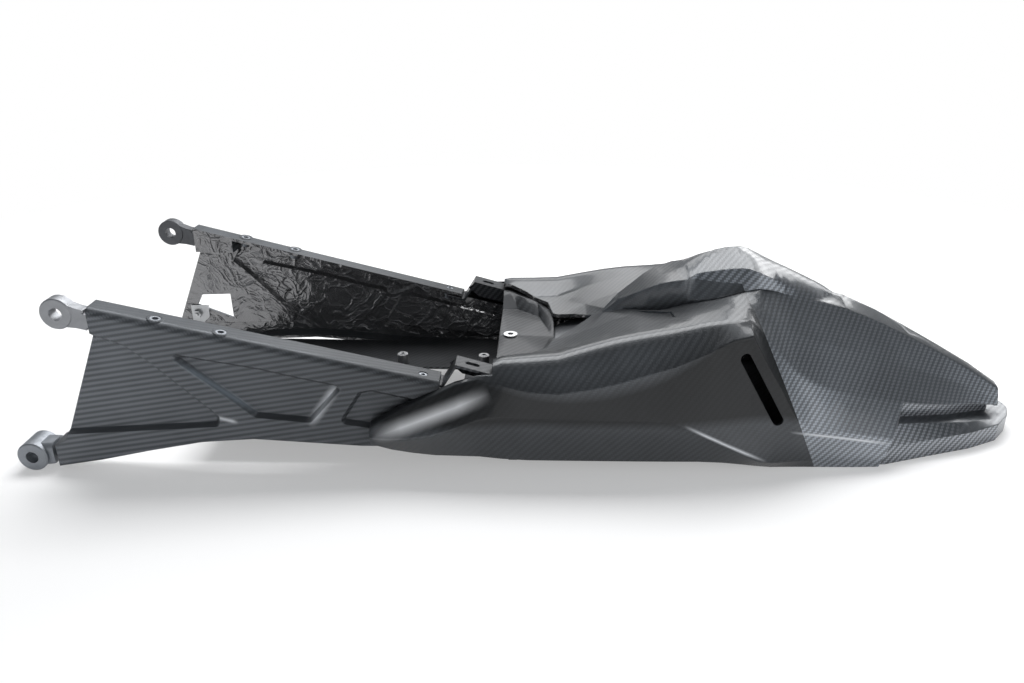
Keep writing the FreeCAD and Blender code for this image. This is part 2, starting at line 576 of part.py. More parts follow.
LIP_PLAN = [(700.0, 66.0), (740.0, 52.0), (769.0, 37.0), (785.0, 19.0), (791.0, 5.0)]
LIP_TOP = -121.0
NECK_PLAN = [(662.0, 57.0), (674.0, 54.0), (722.0, 35.0), (770.0, 10.0)]
LEDGE_IN = 9.0
SHELL_FRONT = 640.0


def plan_outline(points, inset, height, radius):
    line = shift_in(points, inset)
    full = line + [(x, -y) for x, y in reversed(line)]
    return rounded_wire(full, [radius] * len(full), lambda a, b: V(a, b, height(a)))


def skirt_z(x):
    return SKIRT[0][1] + (x - SKIRT[0][0]) * (SKIRT[2][1] - SKIRT[0][1]) / (SKIRT[2][0] - SKIRT[0][0])


def ledge_z(x):
    return -107.0 - 0.15 * (x - 679.0)


def lower_tail_solid(inset):
    start = [(x, min(cowl_inner_width(x, -126.0), cowl_inner_width(x, -136.0)) - 5 * BOND)
             for x in (SHELL_FRONT, 659.0)]
    plan = start + LIP_PLAN
    radius = 0 if inset else 8.0
    lip = Part.Face(plan_outline(plan, inset, lambda a: -FLOOR_DROP, radius)).extrude(
        V(0, 0, LIP_TOP + FLOOR_DROP - inset))
    ledge = Part.makeLoft([plan_outline(plan, inset, lambda a: LIP_TOP - inset, radius),
                           plan_outline(plan, inset + LEDGE_IN, lambda a: ledge_z(a) - inset, radius)],
                          True, True)
    return lip.fuse(ledge)


def neck(inset):
    """Upright wall from the ledge up to the lower edge of the cowl."""
    line = shift_in(NECK_PLAN, inset)
    full = line + [(x, -y) for x, y in reversed(line)]
    side = prism_xz([(640.0, -123.0), (640.0, skirt_z(640.0) - BOND), (800.0, skirt_z(800.0) - BOND),
                     (800.0, -123.0)], -100.0, 100.0)
    return prism_xy(full, -125.0, -60.0).common(side)


def make_lower_tail():
    outer = lower_tail_solid(0.0).fuse(neck(0.0))
    inner = lower_tail_solid(SKIN)
    return outer.cut([inner, neck(SKIN)])


# Inner panels, seen through the seat opening

SHELF_BASE = [(318.0, 62.0), (348.0, 62.0), (369.0, 44.0), (377.0, 16.0), (379.0, 0.0)]
SHELF_RIM = [(318.0, 84.0), (340.0, 84.0), (366.0, 66.0), (386.0, 40.0), (393.0, 0.0)]
SHELF_FRONT = 333.0


def rim_z(y):
    return -60.3 + 0.146 * y


def shelf_solid(inset, rise):
    base = [(318.0 - rise, 0.0)] + shift_in(SHELF_BASE, inset)
    rim = [(318.0 - rise, 0.0)] + shift_in(SHELF_RIM, inset)
    base[1] = (base[0][0], base[1][1])
    rim[1] = (rim[0][0], rim[1][1])
    base[-1] = (base[-1][0], 0.0)
    rim[-1] = (rim[-1][0], 0.0)
    low = Part.makePolygon([V(x, y, SHELF_Z - SKIN + rise) for x, y in base + base[:1]])
    high = Part.makePolygon([V(x, y, rim_z(y) + rise) for x, y in rim + rim[:1]])
    return Part.makeLoft([low, high], True, True)


def make_seat_shelf():
    half = shelf_solid(0.0, 0.0).cut(shelf_solid(1.0, SKIN))
    half = half.common(Part.makeBox(200, 200, 60, V(SHELF_FRONT, 0, -90)))
    half = half.cut(prism_xy([(382.0, -1.0), (382.0, 30.0), (400.0, 30.0), (400.0, -1.0)], -80.0, -40.0))
    shelf = half.fuse(half.mirror(V(0, 0, 0), LEFT_RIGHT))
    return shelf.cut(Part.makeCylinder(SHELF_BUSH_R + BOND, 20, V(SHELF_HOLE_X, 0, SHELF_Z - 10)))


SHELF_HOLE_X = 343.0
SHELF_BUSH_R = 4.2


def make_shelf_insert():
    """Flanged bush for the seat bolt, in the middle of the shelf."""
    place = V(SHELF_HOLE_X, 0, SHELF_Z)
    barrel = Part.makeCylinder(SHELF_BUSH_R, 9.0, place - UP * 8.0, UP)
    washer = Part.makeCylinder(6.2, 1.2, place + UP * BOND, UP)
    return barrel.fuse(washer).cut(Part.makeCylinder(INSERT_HOLE / 2, 20.0, place - UP * 12.0, UP))


def make_notch_panel():
    """Sloping panel below the notch of the opening, with a foot under the shelf."""
    foot = SHELF_Z - SKIN - BOND
    line = [(366.0, foot), (382.0, foot), (413.0, -49.0)]
    under = [(415.0, -50.5), (384.0, foot - SKIN), (366.0, foot - SKIN)]
    return prism_xz(line + under, -28.0, 28.0)


# Tray between the rails and its four studs

TRAY_FRONT = 84.0
TRAY_WIDENS = 226.0           # behind here the tray lies on the lower flanges of the rails
TRAY_REAR = 342.0
TRAY_LIP = 5.0
TRAY_Z = -112.0 + WALL + BOND
STUD_X = (238.0, 316.0)
STUD_Y = 37.0
STUD_HOLE = 3.2


def make_battery_tray():
    side = [(TRAY_FRONT, 89.0), (TRAY_WIDENS, 89.0), (TRAY_WIDENS, 99.0), (TRAY_REAR, 95.0)]
    tray = prism_xy(side + [(x, -y) for x, y in reversed(side)], TRAY_Z, TRAY_Z + SKIN)
    lip = prism_xz([(TRAY_FRONT, TRAY_Z), (TRAY_FRONT + SKIN, TRAY_Z),
                    (TRAY_FRONT + SKIN, TRAY_Z + TRAY_LIP), (TRAY_FRONT, TRAY_Z + TRAY_LIP)], -86.0, 86.0)
    middle = rounded_prism([(255.0, 28.0), (300.0, 28.0), (300.0, -28.0), (255.0, -28.0)], 8.0,
                           in_xy(TRAY_Z - 5), V(0, 0, 20))
    holes = [Part.makeCylinder(STUD_HOLE + BOND, 20, V(x, y, TRAY_Z - 8))
             for x in STUD_X for y in (-STUD_Y, STUD_Y)]
    return tray.fuse(lip).cut([middle] + holes)


def make_tray_stud(x, y):
    """Threaded bush that holds the tray, flanged above and below it."""
    barrel = Part.makeCylinder(STUD_HOLE, 14.0, V(x, y, TRAY_Z - 2.0))
    upper = Part.makeCylinder(5.0, 9.0, V(x, y, TRAY_Z + SKIN + BOND))
    bore = Part.makeCylinder(1.7, 8.0, V(x, y, TRAY_Z + 6.0))
    return barrel.fuse(upper).cut(bore)


# Floor panel of the tail, with two feet at its front

UNDER_TOP = -122.0
UNDER_FRONT = 338.0
UNDER_REAR = SHELL_FRONT - 1.2


def make_undertray():
    low = UNDER_TOP - SKIN
    line = []
    for x in (UNDER_FRONT, 388.0, 440.0, 475.0, 500.0, 522.0, 540.0, 560.0, 590.0, 620.0, UNDER_REAR):
        line.append((x, min(cowl_inner_width(x, UNDER_TOP), cowl_inner_width(x, low)) - 3 * BOND))
    full = line + [(x, -y) for x, y in reversed(line)]
    plate = prism_xy(full, low, UNDER_TOP)
    foot = prism_xz([(336.0, UNDER_TOP), (356.0, UNDER_TOP), (352.0, -FLOOR_DROP), (345.0, -FLOOR_DROP)],
                    84.0, 84.0 + SKIN)
    return plate.fuse([foot, foot.mirror(V(0, 0, 0), LEFT_RIGHT)])


# Wiring tab on the right rail

TAB_FACE = RAIL_OUT - POCKET - WALL - BOND
TAB_NUT = (8.7, -88.2)


def make_wiring_tab():
    tab = prism_xz([(2.5, -98.0), (2.5, -79.0), (21.0, -79.0), (21.0, -91.0), (14.0, -98.0)],
                   TAB_FACE - 1.5, TAB_FACE)
    tab = tab.cut(cylinder_y(TAB_NUT[0], TAB_NUT[1], 2.2, 80, 120))
    return turn_in(tab)


def make_tab_nut():
    face = TAB_FACE - 1.5
    corners = [(TAB_NUT[0] + 4.6 * math.cos(math.radians(60 * k)),
                TAB_NUT[1] + 4.6 * math.sin(math.radians(60 * k))) for k in range(6)]
    nut = prism_xz(corners, face - 3.7, face - 0.1)
    stud = cylinder_y(TAB_NUT[0], TAB_NUT[1], 2.0, face - 5.5, face + 1.4)
    return turn_in(nut.fuse(stud))


def make_bracket_rivet():
    """Round headed rivet through the web of a bracket."""
    x, z = RIVET
    head = cylinder_y(x, z, 3.0, BRACKET_IN - 1.3, BRACKET_IN - BOND)
    shank = cylinder_y(x, z, 1.6, BRACKET_IN - 1.0, BRACKET_IN + SKIN + 1.2)
    return head.fuse(shank)


# Write every piece

right_rail = finish_rail(make_rail(True))
left_rail = finish_rail(make_rail(False))
save("right_rail", right_rail)
save("left_rail", left_rail.mirror(V(0, 0, 0), LEFT_RIGHT))
both_sides("upper_lug", make_upper_lug())
both_sides("lower_lug", make_lower_lug())
save("flange_inserts", pair(Part.makeCompound(
    [make_insert(x, INSERT_IN, INSERT_HOLE, WALL, PAD_H) for x in INSERT_X])))
save("small_inserts", pair(make_insert(SMALL_X, SMALL_IN, SMALL_HOLE, WALL + BOND + SKIN, 0.3)))
both_sides("seat_bracket", make_brackets())
save("bracket_rivets", pair(make_bracket_rivet()))
save("battery_tray", make_battery_tray())
save("tray_studs", pair(Part.makeCompound([make_tray_stud(x, STUD_Y) for x in STUD_X])))
save("seat_shelf", make_seat_shelf())
save("shelf_insert", make_shelf_insert())
save("notch_panel", make_notch_panel())
save("wiring_tab", make_wiring_tab())
save("wiring_nut", make_tab_nut())
save("undertray", make_undertray())
save("lower_tail", make_lower_tail())
half = make_cowl()
save("tail_cowl", half.fuse(half.mirror(V(0, 0, 0), LEFT_RIGHT)))
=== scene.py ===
import math

import bpy
from mathutils import Matrix, Vector

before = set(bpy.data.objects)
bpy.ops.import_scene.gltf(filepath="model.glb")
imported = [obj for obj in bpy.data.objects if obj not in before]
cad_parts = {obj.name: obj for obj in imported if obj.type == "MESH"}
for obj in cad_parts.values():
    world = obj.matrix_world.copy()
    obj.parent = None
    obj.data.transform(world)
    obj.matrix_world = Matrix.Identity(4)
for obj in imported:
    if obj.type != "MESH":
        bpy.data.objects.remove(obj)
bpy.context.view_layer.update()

# The carbon rear subframe lies on a white studio floor. Metres, origin between the two
# upper lug bores, +X to the rear of the bike, +Y to its right side, +Z up. The left side
# faces the camera.

# Cloth and resin of every laminate
TOW = 0.0016                 # width of one tow
TOW_HEIGHT = 0.00005         # how far the middle of a tow stands out
TWILL_REPEAT = 4             # tows after which the twill repeats
CROWN_SHARE = 0.5            # how much lighter the middle of a tow is than its edges
WARP_SHARE = 0.8             # how much lighter a tow of the warp is than one of the weft
CLOUD_SCALE, CLOUD = 30.0, 0.3         # faint clouds in the resin: scale, depth
FIBRE_SHINE = 0.65           # share of mirror light from the fibres under the resin
RESIN_IOR = 1.5
EDGE_RADIUS = 0.0014         # soft edges of the laminate
PLAIN_TINT = 0.12            # where the weave is hidden, between the dark and the light tow
WARP_ROUGHER = 0.1           # how much rougher a tow of the warp is
UPRIGHT = 0.8                # faces less level than this take the side view of the cloth
STEEP_START, STEEP_SLOPE = 1.95, -2.2  # how steep a face counts: start + slope * levelness

# Colours of a dark and of a light tow
RAIL_TOWS = ((0.070, 0.075, 0.082), (0.205, 0.220, 0.240))
COWL_TOWS = ((0.050, 0.054, 0.059), (0.155, 0.168, 0.186))
PLAIN_TOWS = ((0.020, 0.021, 0.023), (0.090, 0.096, 0.105))
# The notch panel's tows are lighter than the rails': painted light on a panel that lies in shade, with its
# own bold weave
WOVEN_PAINTED_LIGHT_TOWS = ((0.050, 0.053, 0.057), (0.420, 0.440, 0.470))
TAIL_TOWS = ((0.060, 0.065, 0.071), (0.330, 0.352, 0.385))
RAIL_TURN, COWL_TURN = -126.0, -86.0   # degrees by which the cloth is turned

# Crumpled film on the inner side: depth, drift of its pattern, soft folds and sharp creases
FILM_DEPTH = 0.0011
FILM_COLOUR = (0.19, 0.19, 0.195)
FILM_DRIFT, FILM_DRIFT_SCALES = 0.05, (22.0, 23.0, 25.0)
FOLD_SCALE, FOLD_HEIGHT = 26.0, 3.0
FILM_CREASES = ((26.0, 9.0, 0.9), (61.0, 8.0, 0.6), (140.0, 6.0, 0.28))  # scale, sharpness, height
FAINT_SCALE = 0.6            # a crease comes and goes on this share of its own scale
SECTION_MIDDLE = -0.1        # height of the middle of the cowl's section
COWL_INWARDS = -0.004        # a face of the cowl looks inwards below this
RAIL_INWARDS = 0.3           # a face of a rail looks inwards above this

# Painted light and shade: lighter and darker zones of the cowl and the rails
REAR_START, REAR_SLANT = 0.537, 0.45   # front edge of the rear panel: x + slant * z
HUMP_BASE = 0.004            # the hump is what rises above this
LEVEL_PAINTED_SHADE, LEVEL_BOLD_PAINTED_SHADE = 0.55, 0.8          # painted shade on level faces: faint, bold cloth
BAND_PAINTED_SHADE, SILL_PAINTED_LIGHT, UPPER_PAINTED_LIGHT, BOLD_PAINTED_LIGHT = 0.18, 0.78, 1.7, 2.3   # painted light and shade on zones of the side
FAINT_WEAVE = 0.25           # how plainly the weave shows outside the bold cloth
BAND_LOW = (0.394, -0.057)   # lowest point (x, z) of the upper edge of the band of painted shade on the side
BAND_BEND, BAND_FADE = 3.0, 0.022
SILL_EDGE, SILL_SHARPNESS = -0.088, 120.0        # height of the lower crease on the side, below which light is painted
RAIL_SHADE_FRONT, RAIL_SHADE_FADE = 1.1, -2.3       # painted shade: the cloth of the rails gets darker to the rear

# Painted highlights along creases and edges, and a painted highlight on the flare: ends in (x, z), half
# width, colour
PALE, BLUISH, WHITISH = (0.62, 0.64, 0.67), (0.26, 0.30, 0.34), (0.85, 0.86, 0.88)
COWL_HIGHLIGHTS = (((0.484, -0.087), (0.557, -0.127), 0.0022, PALE),
              ((0.571, -0.099), (0.660, -0.116), 0.0020, PALE),
              ((0.238, -0.099), (0.332, -0.060), 0.0095, WHITISH))
RAIL_HIGHLIGHTS = (((0.086, -0.035), (0.146, -0.085), 0.0030, BLUISH),
              ((0.212, -0.058), (0.186, -0.094), 0.0060, PALE),
              ((0.112, -0.086), (0.130, -0.091), 0.0030, PALE))
LINE_TAPER = 0.25            # share of its length over which a line fades at each end
LINE_FALL = 1.6              # how fast it fades to its sides

# Metal
GRAIN_SCALE, GRAIN_SHARE = 900.0, 0.15           # share of the relief
BLOTCH_SCALE, BLOTCH_COVER = 120.0, 0.9          # share of the plain colour in a full blotch
BLOTCH_SHADE, BLOTCH_ROUGHER = 0.7, 0.15         # darker between the blotches, rougher on them
METAL_RELIEF = 0.0003
DENT_SHARE, DENT_RELIEF = 3, 4                   # how much full dents add to blotches and relief

# Shading: corners closer than this are joined, and edges that bend more stay sharp, in degrees
JOIN_WITHIN = 1e-6
CRISP_BEND, FLOWING_BEND = 32, 42

# Studio
FLOOR_Z = -0.137
FLOOR_HALF = 6.0
FLOOR_COLOUR = (0.97, 0.97, 0.975)
FLOOR_GLOW = 0.36            # share of plain white in the floor near the part, as the camera sees it
GLOW_MIDDLE, GLOW_START, GLOW_RISE = 0.36, 0.5, 1.1   # x of its middle, distance, rise per metre
SKY, SKY_COLOUR = 0.22, (0.9, 0.95, 1.0)              # even light from all round
WHITE = (1.0, 1.0, 1.0)
MIDDLE = (0.38, 0.0, -0.1)   # what most lamps look at
# Name, place, what it looks at, width, height, power in watts
LAMPS = (("top", (0.38, 0.70, 1.45), MIDDLE, 1.8, 0.8, 35.0),
         ("back", (0.72, 1.15, 0.80), MIDDLE, 1.7, 0.6, 10.5),
         ("leaf", (1.25, 1.00, 0.45), (0.56, 0.0, 0.0), 0.9, 0.45, 6.0),
         ("side", (1.45, -1.20, 0.45), (0.60, 0.0, -0.05), 1.5, 0.9, 5.0))

# Camera of the photograph
CAMERA_PLACE = (0.3729, -0.700, 0.2432)
CAMERA_RIGHT = (0.9992, 0.0408, 0.0)
CAMERA_DOWN = (0.0165, -0.4038, -0.9147)
CAMERA_FORWARD = (-0.0373, 0.9139, -0.4042)
IMAGE_WIDTH = 1024
FOCAL_PIXELS = 850
SENSOR = 36.0
CLIP_NEAR, CLIP_FAR = 0.01, 50.0


class Nodes:
    """Node tree of one material, with short ways to write it. The functions below call it n."""

    def __init__(self, name):
        self.material = bpy.data.materials.new(name)
        self.material.use_nodes = True
        self.tree = self.material.node_tree
        self.tree.nodes.clear()
        self.output = self.tree.nodes.new("ShaderNodeOutputMaterial")

    def add(self, kind, **values):
        node = self.tree.nodes.new(kind)
        for key, value in values.items():
            setattr(node, key, value)
        return node

    def plug(self, socket, value):
        """Links another socket, or sets a plain value."""
        if isinstance(value, bpy.types.NodeSocket):
            self.tree.links.new(value, socket)
        else:
            socket.default_value = value

    def math(self, operation, a, b=0.0, c=0.0, clamp=False):
        node = self.add("ShaderNodeMath", operation=operation, use_clamp=clamp)
        for socket, value in zip(node.inputs, (a, b, c)):
            self.plug(socket, value)
        return node.outputs[0]

    def vector(self, operation, a, b):
        node = self.add("ShaderNodeVectorMath", operation=operation)
        self.plug(node.inputs[0], a)
        self.plug(node.inputs[1], b)
        return node.outputs["Vector"]

    def split(self, vector):
        node = self.add("ShaderNodeSeparateXYZ")
        self.plug(node.inputs[0], vector)
        return node.outputs

    def join(self, x, y, z):
        node = self.add("ShaderNodeCombineXYZ")
        for socket, value in zip(node.inputs, (x, y, z)):
            self.plug(socket, value)
        return node.outputs[0]

    def mix(self, factor, a, b):
        """Mix of two numbers."""
        node = self.add("ShaderNodeMix", data_type="FLOAT")
        for socket, value in zip(node.inputs[:1] + node.inputs[2:4], (factor, a, b)):
            self.plug(socket, value)
        return node.outputs[0]

    def colour(self, factor, a, b):
        """Mix of two colours."""
        node = self.add("ShaderNodeMix", data_type="RGBA")
        self.plug(node.inputs[0], factor)
        for socket, value in zip(node.inputs[6:8], (a, b)):
            self.plug(socket, value if isinstance(value, bpy.types.NodeSocket) else (*value, 1.0))
        return node.outputs[2]

    def scale(self, colour, factor):
        """Colour times a number."""
        node = self.add("ShaderNodeVectorMath", operation="SCALE")
        self.plug(node.inputs[0], colour)
        self.plug(node.inputs["Scale"], factor)
        return node.outputs[0]

    def noise(self, scale, detail=2.0, vector=None, rough=0.5):
        node = self.add("ShaderNodeTexNoise")
        self.plug(node.inputs["Scale"], scale)
        self.plug(node.inputs["Detail"], detail)
        self.plug(node.inputs["Roughness"], rough)
        self.plug(node.inputs["Vector"], vector if vector is not None else self.place())
        return node.outputs[0]

    def place(self):
        return self.add("ShaderNodeTexCoord").outputs["Object"]

    def normal(self):
        return self.add("ShaderNodeTexCoord").outputs["Normal"]

    def bump(self, height, distance, strength=1.0, under=None):
        node = self.add("ShaderNodeBump")
        self.plug(node.inputs["Height"], height)
        node.inputs["Distance"].default_value = distance
        node.inputs["Strength"].default_value = strength
        if under is not None:
            self.plug(node.inputs["Normal"], under)
        return node.outputs[0]

    def shader(self, **values):
        """Main shader. The names of its inputs have _ in place of spaces."""
        node = self.add("ShaderNodeBsdfPrincipled")
        for key, value in values.items():
            socket = node.inputs[key.replace("_", " ")]
            if isinstance(value, tuple) and len(value) == 3 and socket.type == "RGBA":
                value = (*value, 1.0)
            self.plug(socket, value)
        return node.outputs[0]

    def mix_shader(self, factor, a, b):
        node = self.add("ShaderNodeMixShader")
        for socket, value in zip(node.inputs, (factor, a, b)):
            self.plug(socket, value)
        return node.outputs[0]

    def finish(self, surface):
        self.plug(self.output.inputs["Surface"], surface)
        return self.material


def levelness(n):
    """0 on an upright face, 1 on a level one."""
    return n.math("ABSOLUTE", n.split(n.normal())[2])


def twill(n, u, v, degrees):
    """2x2 twill in the plane (u, v): 1 where the warp is on top, and the height of the tow."""
    turn = math.radians(degrees)
    cosine, sine = math.cos(turn) / TOW, math.sin(turn) / TOW
    a = n.math("ADD", n.math("MULTIPLY", u, cosine), n.math("MULTIPLY", v, sine))
    b = n.math("SUBTRACT", n.math("MULTIPLY", v, cosine), n.math("MULTIPLY", u, sine))
    step = n.math("ADD", n.math("FLOOR", a), n.math("FLOOR", b))
    # The added tenth keeps whole steps away from the limits at 0 and at one half
    phase = n.math("FRACT", n.math("MULTIPLY_ADD", step, 1.0 / TWILL_REPEAT, 0.1))
    warp = n.math("LESS_THAN", phase, 0.5)
    crown_a = n.math("SINE", n.math("MULTIPLY", n.math("FRACT", a), math.pi))
    crown_b = n.math("SINE", n.math("MULTIPLY", n.math("FRACT", b), math.pi))
    return warp, n.mix(warp, crown_b, crown_a)


def cloth_plane(n):
    """Flat coordinates of the cloth: side view on upright faces, plan view on the others."""
    x, y, z = n.split(n.place())
    upright = n.math("LESS_THAN", levelness(n), UPRIGHT)
    return x, n.mix(upright, y, z)


def film_finish(n):
    """Height of the crumpled film on the inner side of a laminate, as cast by a vacuum bag."""
    drift = n.join(*(n.noise(scale) for scale in FILM_DRIFT_SCALES))
    warped = n.vector("ADD", n.place(), n.vector("MULTIPLY", drift, (FILM_DRIFT,) * 3))
    soft = n.noise(FOLD_SCALE, detail=1.0, vector=warped, rough=0.4)
    folds = n.math("MULTIPLY", soft, FOLD_HEIGHT)
    for scale, sharpness, share in FILM_CREASES:
        cells = n.add("ShaderNodeTexVoronoi", feature="DISTANCE_TO_EDGE")
        n.plug(cells.inputs["Vector"], warped)
        cells.inputs["Scale"].default_value = scale
        to_edge = n.math("MULTIPLY", cells.outputs[0], sharpness, clamp=True)
        crease = n.math("SUBTRACT", 1.0, to_edge, clamp=True)
        faint = n.math("MULTIPLY", n.noise(scale * FAINT_SCALE, detail=1.0), share)
        folds = n.math("ADD", folds, n.math("MULTIPLY", crease, faint))
    return folds


def bold_cloth(n):
    """1 where the cloth of the cowl shows strongly: behind the vent slots and on the hump."""
    x, _, z = n.split(n.place())
    rear = n.math("GREATER_THAN", n.math("MULTIPLY_ADD", z, REAR_SLANT, x), REAR_START)
    return n.math("MAXIMUM", rear, n.math("GREATER_THAN", z, HUMP_BASE))


def even_tone(_, steep):
    """How light a laminate with no zones is, and how plainly its weave shows."""
    return 1.0, steep


def rail_painted_shade(n, steep):
    """The same for a rail, with painted shade that gets darker to the rear."""
    return n.math("MULTIPLY_ADD", n.split(n.place())[0], RAIL_SHADE_FADE, RAIL_SHADE_FRONT, clamp=True), steep


def cowl_painted_light(n, steep):
    """The same for the cowl, with light and shade painted on: a band of painted shade along the side,
    painted light above it and on bold cloth.
    """
    x, _, z = n.split(n.place())
    along = n.math("SUBTRACT", x, BAND_LOW[0])
    band = n.math("MULTIPLY_ADD", n.math("MULTIPLY", along, along), BAND_BEND, BAND_LOW[1])
    above = n.math("MULTIPLY_ADD", n.math("SUBTRACT", z, band), 1.0 / BAND_FADE, 0.5, clamp=True)
    below = n.math("MULTIPLY_ADD", n.math("SUBTRACT", SILL_EDGE, z), SILL_SHARPNESS, 0.5, clamp=True)
    bold = bold_cloth(n)
    # painted light and shade by zone and by how steep a face is
    side = n.mix(above, n.mix(below, BAND_PAINTED_SHADE, SILL_PAINTED_LIGHT), UPPER_PAINTED_LIGHT)
    tone = n.mix(steep, n.mix(bold, LEVEL_PAINTED_SHADE, LEVEL_BOLD_PAINTED_SHADE), n.mix(bold, side, BOLD_PAINTED_LIGHT))
    shown = n.math("MULTIPLY_ADD", bold, 1.0 - FAINT_WEAVE, FAINT_WEAVE)
    return tone, n.math("MULTIPLY", steep, shown)


def highlight_line(n, start, end, width):
    """1 along a painted highlight line on the side of the part, from start to end in (x, z)."""
    x, _, z = n.split(n.place())
    length = math.dist(start, end)
    ux, uz = (end[0] - start[0]) / length, (end[1] - start[1]) / length
    dx, dz = n.math("SUBTRACT", x, start[0]), n.math("SUBTRACT", z, start[1])
    along = n.math("ADD", n.math("MULTIPLY", dx, ux), n.math("MULTIPLY", dz, uz))
    across = n.math("SUBTRACT", n.math("MULTIPLY", dz, ux), n.math("MULTIPLY", dx, uz))
    near = n.math("SUBTRACT", 1.0, n.math("DIVIDE", n.math("ABSOLUTE", across), width), clamp=True)
    taper = length * LINE_TAPER
    inside = n.math("MULTIPLY", n.math("DIVIDE", along, taper, clamp=True),
                    n.math("DIVIDE", n.math("SUBTRACT", length, along), taper, clamp=True))
    return n.math("MULTIPLY", n.math("POWER", near, LINE_FALL), inside)


def cowl_inside(n):
    """1 on the faces of the cowl that look at the middle of its section."""
    _, ny, nz = n.split(n.normal())
    _, y, z = n.split(n.place())
    upwards = n.math("MULTIPLY", nz, n.math("SUBTRACT", z, SECTION_MIDDLE))
    return n.math("LESS_THAN", n.math("ADD", n.math("MULTIPLY", ny, y), upwards), COWL_INWARDS)


def rail_inside(n, side):
    """1 on the faces of a rail that look at the other one: side is 1 on the right, -1 on the left."""
    return n.math("GREATER_THAN", n.math("MULTIPLY", n.split(n.normal())[1], -side), RAIL_INWARDS)


def carbon(name, degrees, tows, rough=0.36, coat=0.4, zones=even_tone, inside=None, painted_highlights=()):
    """Satin carbon laminate. Where inside gives 1, it has the crumpled glossy film finish.

    zones gives its painted light and shade, by zone and by how steep a face is, and how plainly its weave
    shows.
    """
    n = Nodes(name)
    u, v = cloth_plane(n)
    warp, height = twill(n, u, v, degrees)
    steep = n.math("MULTIPLY_ADD", levelness(n), STEEP_SLOPE, STEEP_START, clamp=True)
    tone, weave = zones(n, steep)
    cloth = n.math("MULTIPLY", n.math("MULTIPLY_ADD", height, CROWN_SHARE, 1.0 - CROWN_SHARE),
                   n.math("MULTIPLY_ADD", warp, WARP_SHARE, 1.0 - WARP_SHARE))
    clouds = n.math("MULTIPLY_ADD", n.noise(CLOUD_SCALE), CLOUD, -CLOUD / 2)
    tint = n.math("ADD", n.mix(weave, PLAIN_TINT, cloth), clouds, clamp=True)
    # tone is the painted light and shade from the zones
    base = n.scale(n.colour(tint, *tows), tone)
    # painted highlights laid over the base colour
    for start, end, width, colour in painted_highlights:
        base = n.colour(highlight_line(n, start, end, width), base, colour)
    edges = n.add("ShaderNodeBevel", samples=4)
    edges.inputs["Radius"].default_value = EDGE_RADIUS
    rounded = edges.outputs[0]
    laminate = n.shader(Base_Color=base, Metallic=FIBRE_SHINE, IOR=RESIN_IOR,
                        Roughness=n.mix(warp, rough, rough + WARP_ROUGHER),
                        Normal=n.bump(height, TOW_HEIGHT, strength=0.5, under=rounded),
                        Coat_Weight=coat, Coat_Roughness=0.12, Coat_Normal=rounded)
    if inside is None:
        return n.finish(laminate)
    crumpled = n.bump(film_finish(n), FILM_DEPTH)
    film = n.shader(Base_Color=FILM_COLOUR, Metallic=0.75, IOR=RESIN_IOR, Roughness=0.21,
                    Normal=crumpled, Coat_Weight=1.0, Coat_Roughness=0.07, Coat_Normal=crumpled)
    return n.finish(n.mix_shader(inside(n), laminate, film))


def bare_metal(name, colour, rough, dents=0.0, metallic=1.0):
    """Metal with fine grain and blotches, which dents makes deeper."""
    n = Nodes(name)
    grain = n.noise(GRAIN_SCALE)
    blotch = n.noise(BLOTCH_SCALE, detail=3.0)
    darker = [channel * BLOTCH_SHADE for channel in colour]
    shade = n.colour(n.math("MULTIPLY", blotch, BLOTCH_COVER), darker, colour)
    height = n.math("ADD", n.math("MULTIPLY", grain, GRAIN_SHARE),
                    n.math("MULTIPLY", blotch, 1.0 + dents * DENT_SHARE))
    relief = n.bump(height, METAL_RELIEF * (1 + dents * DENT_RELIEF), strength=0.5)
    return n.finish(n.shader(Base_Color=shade, Metallic=metallic, Normal=relief,
                             Roughness=n.mix(blotch, rough, rough + BLOTCH_ROUGHER)))


def dress(node, material):
    """Gives a piece its material."""
    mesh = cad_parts[node].data
    mesh.materials.clear()
    mesh.materials.append(material)


def soft_faces(degrees):
    """Shading only: joins the split corners of a mesh and keeps its real edges sharp."""
    tree = bpy.data.node_groups.new("soft_faces_%d" % degrees, "GeometryNodeTree")
    tree.interface.new_socket("Geometry", in_out="INPUT", socket_type="NodeSocketGeometry")
    tree.interface.new_socket("Geometry", in_out="OUTPUT", socket_type="NodeSocketGeometry")
    start = tree.nodes.new("NodeGroupInput")
    end = tree.nodes.new("NodeGroupOutput")
    joined = tree.nodes.new("GeometryNodeMergeByDistance")
    joined.inputs["Distance"].default_value = JOIN_WITHIN
    plain = tree.nodes.new("GeometryNodeRemoveAttribute")
    plain.inputs["Name"].default_value = "custom_normal"
    faces = tree.nodes.new("GeometryNodeSetShadeSmooth")
    edges = tree.nodes.new("GeometryNodeSetShadeSmooth")
    edges.domain = "EDGE"
    bend = tree.nodes.new("GeometryNodeInputMeshEdgeAngle")
    gentle = tree.nodes.new("ShaderNodeMath")
    gentle.operation = "LESS_THAN"
    gentle.inputs[1].default_value = math.radians(degrees)
    tree.links.new(bend.outputs["Unsigned Angle"], gentle.inputs[0])
    tree.links.new(gentle.outputs[0], edges.inputs["Shade Smooth"])
    chain = [start, joined, plain, faces, edges, end]
    for before, after in zip(chain, chain[1:]):
        tree.links.new(before.outputs[0], after.inputs[0])
    return tree


def smooth(node, shading):
    """Puts the shading of soft_faces on a piece."""
    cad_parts[node].modifiers.new("soft_faces", "NODES").node_group = shading


